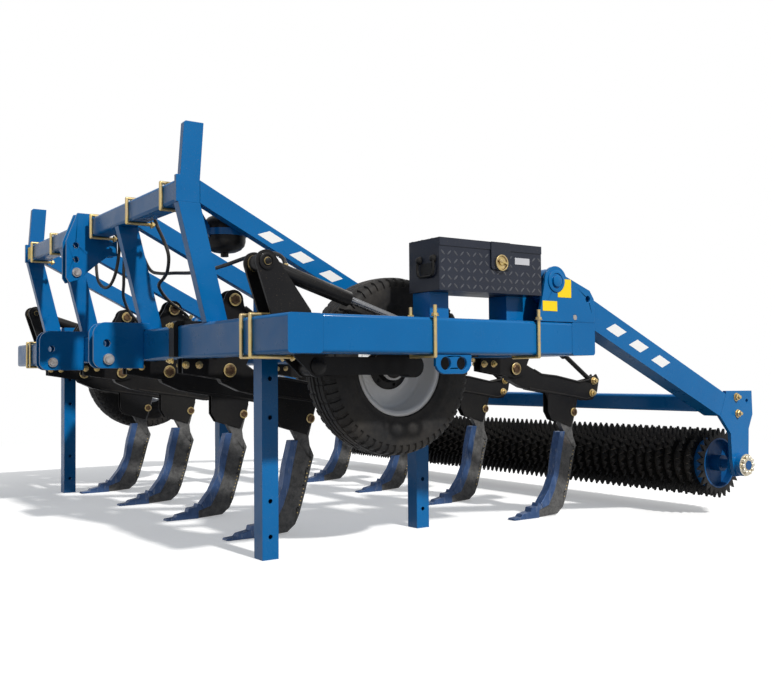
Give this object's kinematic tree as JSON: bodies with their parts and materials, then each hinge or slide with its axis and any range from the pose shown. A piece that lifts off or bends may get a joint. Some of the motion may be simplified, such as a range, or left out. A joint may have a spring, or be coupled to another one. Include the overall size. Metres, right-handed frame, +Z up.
{
  "type": "mounted subsoiler",
  "caption": "Wide subsoiler for a tractor, with break-back tines under a box frame, side depth wheels on rams and a toothed rear roller.",
  "frame": {"origin": "middle of the bounding box's bottom, on the ground the stands and points rest on", "axes": "+X in the direction of travel, +Y to the machine's left, +Z up"},
  "size_m": [3.199, 4.026, 1.864],
  "materials": {
    "blue_paint": "gloss",
    "black_paint": "satin",
    "zinc_steel": "yellow zinc plate",
    "pin_steel": "bare steel",
    "shank_steel": "forged, rough",
    "wear_steel": "hard-faced plate, thin blue-grey paint",
    "box_paint": "textured tread plate",
    "rim_paint": "satin light grey",
    "tyre_rubber": "matt",
    "rod_chrome": "polished"
  },
  "bodies": {
    "frame": {"front_beam": "blue_paint", "rear_beam": "blue_paint", "side_beams": "blue_paint", "rails": "blue_paint", "upper_bar": "blue_paint", "bar_end_plates": "blue_paint", "legs": "blue_paint", "struts": "blue_paint", "top_link_bracket": "blue_paint", "top_link_pin": "pin_steel", "hitch_plates": "blue_paint", "hitch_pins": "pin_steel", "wheel_towers": "black_paint", "tower_pins": "zinc_steel", "tine_brackets": "black_paint", "tine_clamps": "black_paint", "tine_arms": "black_paint", "trip_rams": "black_paint", "shanks": "shank_steel", "shins": "wear_steel", "points": "wear_steel", "u_bolts": "zinc_steel", "roller_mounts": "blue_paint", "roller_pivots": "pin_steel", "stand_sleeves": "blue_paint", "tow_bracket": "blue_paint", "toolbox": "box_paint", "toolbox_legs": "blue_paint"},
    "lid": {"toolbox_lid": "box_paint"},
    "wheel_arm_left": {"wheel_arm_left": "black_paint"},
    "wheel_left": {"rim_left": "rim_paint", "tyre_left": "tyre_rubber"},
    "ram_barrel_left": {"ram_barrel_left": "black_paint"},
    "ram_rod_left": {"ram_rod_left": "rod_chrome"},
    "wheel_arm_right": {"wheel_arm_right": "black_paint"},
    "wheel_right": {"rim_right": "rim_paint", "tyre_right": "tyre_rubber"},
    "ram_barrel_right": {"ram_barrel_right": "black_paint"},
    "ram_rod_right": {"ram_rod_right": "rod_chrome"},
    "roller_frame": {"roller_arms": "blue_paint", "roller_cross_tube": "blue_paint", "roller_end_plates": "blue_paint"},
    "roller": {"roller_drum": "blue_paint", "roller_teeth": "black_paint"},
    "stand_front_left": {"stand_front_left": "blue_paint"},
    "stand_front_right": {"stand_front_right": "blue_paint"},
    "stand_rear_left": {"stand_rear_left": "blue_paint"},
    "stand_rear_right": {"stand_rear_right": "blue_paint"}
  },
  "joints": [
    {"name": "wheel_arm_left_swing", "type": "hinge", "parent": "frame", "child": "wheel_arm_left", "pos_m": [1.0855, 1.7, 0.81], "axis": [0, -1, 0], "range_deg": [0, 38]},
    {"name": "wheel_left_spin", "type": "hinge", "parent": "wheel_arm_left", "child": "wheel_left", "pos_m": [0.5905, 1.548, 0.81], "axis": [0, 1, 0], "continuous": true},
    {"name": "ram_left_tilt", "type": "hinge", "parent": "frame", "child": "ram_barrel_left", "pos_m": [1.3145, 1.7, 1.217], "axis": [0, -1, 0], "range_deg": [0, 22]},
    {"name": "ram_left_stroke", "type": "slide", "parent": "ram_barrel_left", "child": "ram_rod_left", "axis": [-0.9551, 0, -0.2963], "range_m": [0, 0.18]},
    {"name": "wheel_arm_right_swing", "type": "hinge", "parent": "frame", "child": "wheel_arm_right", "pos_m": [1.0855, -1.7, 0.81], "axis": [0, -1, 0], "range_deg": [0, 38]},
    {"name": "wheel_right_spin", "type": "hinge", "parent": "wheel_arm_right", "child": "wheel_right", "pos_m": [0.5905, -1.548, 0.81], "axis": [0, 1, 0], "continuous": true},
    {"name": "ram_right_tilt", "type": "hinge", "parent": "frame", "child": "ram_barrel_right", "pos_m": [1.3145, -1.7, 1.217], "axis": [0, -1, 0], "range_deg": [0, 22]},
    {"name": "ram_right_stroke", "type": "slide", "parent": "ram_barrel_right", "child": "ram_rod_right", "axis": [-0.9551, 0, -0.2963], "range_m": [0, 0.18]},
    {"name": "roller_frame_lift", "type": "hinge", "parent": "frame", "child": "roller_frame", "pos_m": [-0.0215, 0, 1.188], "axis": [0, 1, 0], "range_deg": [0, 15]},
    {"name": "roller_spin", "type": "hinge", "parent": "roller_frame", "child": "roller", "pos_m": [-1.4095, 0, 0.278], "axis": [0, 1, 0], "continuous": true},
    {"name": "toolbox_lid_swing", "type": "hinge", "parent": "frame", "child": "lid", "pos_m": [0.358, 1.77, 1.332], "axis": [1, 0, 0], "range_deg": [0, 100]},
    {"name": "stand_front_left_slide", "type": "slide", "parent": "frame", "child": "stand_front_left", "axis": [0, 0, 1], "range_m": [0, 0.35]},
    {"name": "stand_front_right_slide", "type": "slide", "parent": "frame", "child": "stand_front_right", "axis": [0, 0, 1], "range_m": [0, 0.35]},
    {"name": "stand_rear_left_slide", "type": "slide", "parent": "frame", "child": "stand_rear_left", "axis": [0, 0, 1], "range_m": [0, 0.35]},
    {"name": "stand_rear_right_slide", "type": "slide", "parent": "frame", "child": "stand_rear_right", "axis": [0, 0, 1], "range_m": [0, 0.35]}
  ],
  "couplings": [
    {"joint": "ram_left_tilt", "follows": "wheel_arm_left_swing", "ratio": 0.5617},
    {"joint": "ram_left_stroke", "follows": "wheel_arm_left_swing", "m_per_rad": 0.26306},
    {"joint": "ram_right_tilt", "follows": "wheel_arm_right_swing", "ratio": 0.5617},
    {"joint": "ram_right_stroke", "follows": "wheel_arm_right_swing", "m_per_rad": 0.26306}
  ]
}
